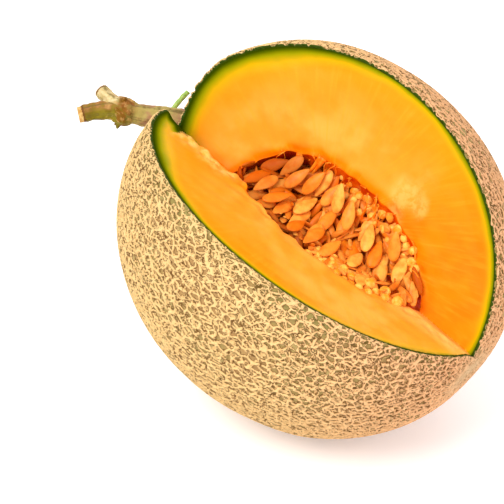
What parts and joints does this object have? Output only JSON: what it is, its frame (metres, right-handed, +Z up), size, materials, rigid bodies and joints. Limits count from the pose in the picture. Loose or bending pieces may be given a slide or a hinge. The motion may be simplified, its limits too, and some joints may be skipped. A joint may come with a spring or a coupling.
{
  "type": "melon",
  "caption": "Netted muskmelon lying on its side with its stem on, a lengthwise wedge cut out, showing orange flesh and a cavity of loose seeds.",
  "frame": {"origin": "centre of the flat spot that the fruit rests on", "axes": "+Z up from the table; -Y towards the open side of the wedge; the stem points to -X, up and back"},
  "size_m": [0.1735, 0.1526, 0.1465],
  "materials": {
    "flesh": "moist orange flesh, green under a cream netted rind",
    "netted_rind": "dry corky cream net over grey-green skin",
    "stem_bark": "dull olive stem with pale ribs and brown corky scars",
    "green_stalk": "thin pale green stalk, slightly glossy",
    "seed": "wet tan-orange seed coat"
  },
  "bodies": {
    "root": {"cut_melon": "flesh", "seed_01": "seed", "seed_02": "seed", "seed_03": "seed", "seed_04": "seed", "seed_05": "seed", "seed_06": "seed", "seed_07": "seed", "seed_08": "seed", "seed_09": "seed", "seed_10": "seed", "seed_11": "seed", "seed_12": "seed", "seed_13": "seed", "seed_14": "seed", "seed_15": "seed", "seed_16": "seed", "seed_17": "seed", "seed_18": "seed", "seed_19": "seed", "seed_20": "seed", "seed_21": "seed", "seed_22": "seed", "seed_23": "seed", "seed_24": "seed", "seed_25": "seed", "seed_26": "seed", "seed_27": "seed", "seed_28": "seed", "seed_29": "seed", "seed_30": "seed", "seed_31": "seed", "seed_32": "seed", "seed_33": "seed", "seed_34": "seed", "seed_35": "seed", "seed_36": "seed", "seed_37": "seed", "seed_38": "seed", "seed_39": "seed", "seed_40": "seed", "seed_41": "seed", "seed_42": "seed", "seed_43": "seed", "seed_44": "seed", "seed_45": "seed", "seed_46": "seed", "seed_47": "seed", "seed_48": "seed", "seed_49": "seed", "seed_50": "seed", "seed_51": "seed", "seed_52": "seed", "seed_53": "seed", "seed_54": "seed", "side_stalk": "green_stalk", "stem": "stem_bark"}
  },
  "joints": []
}
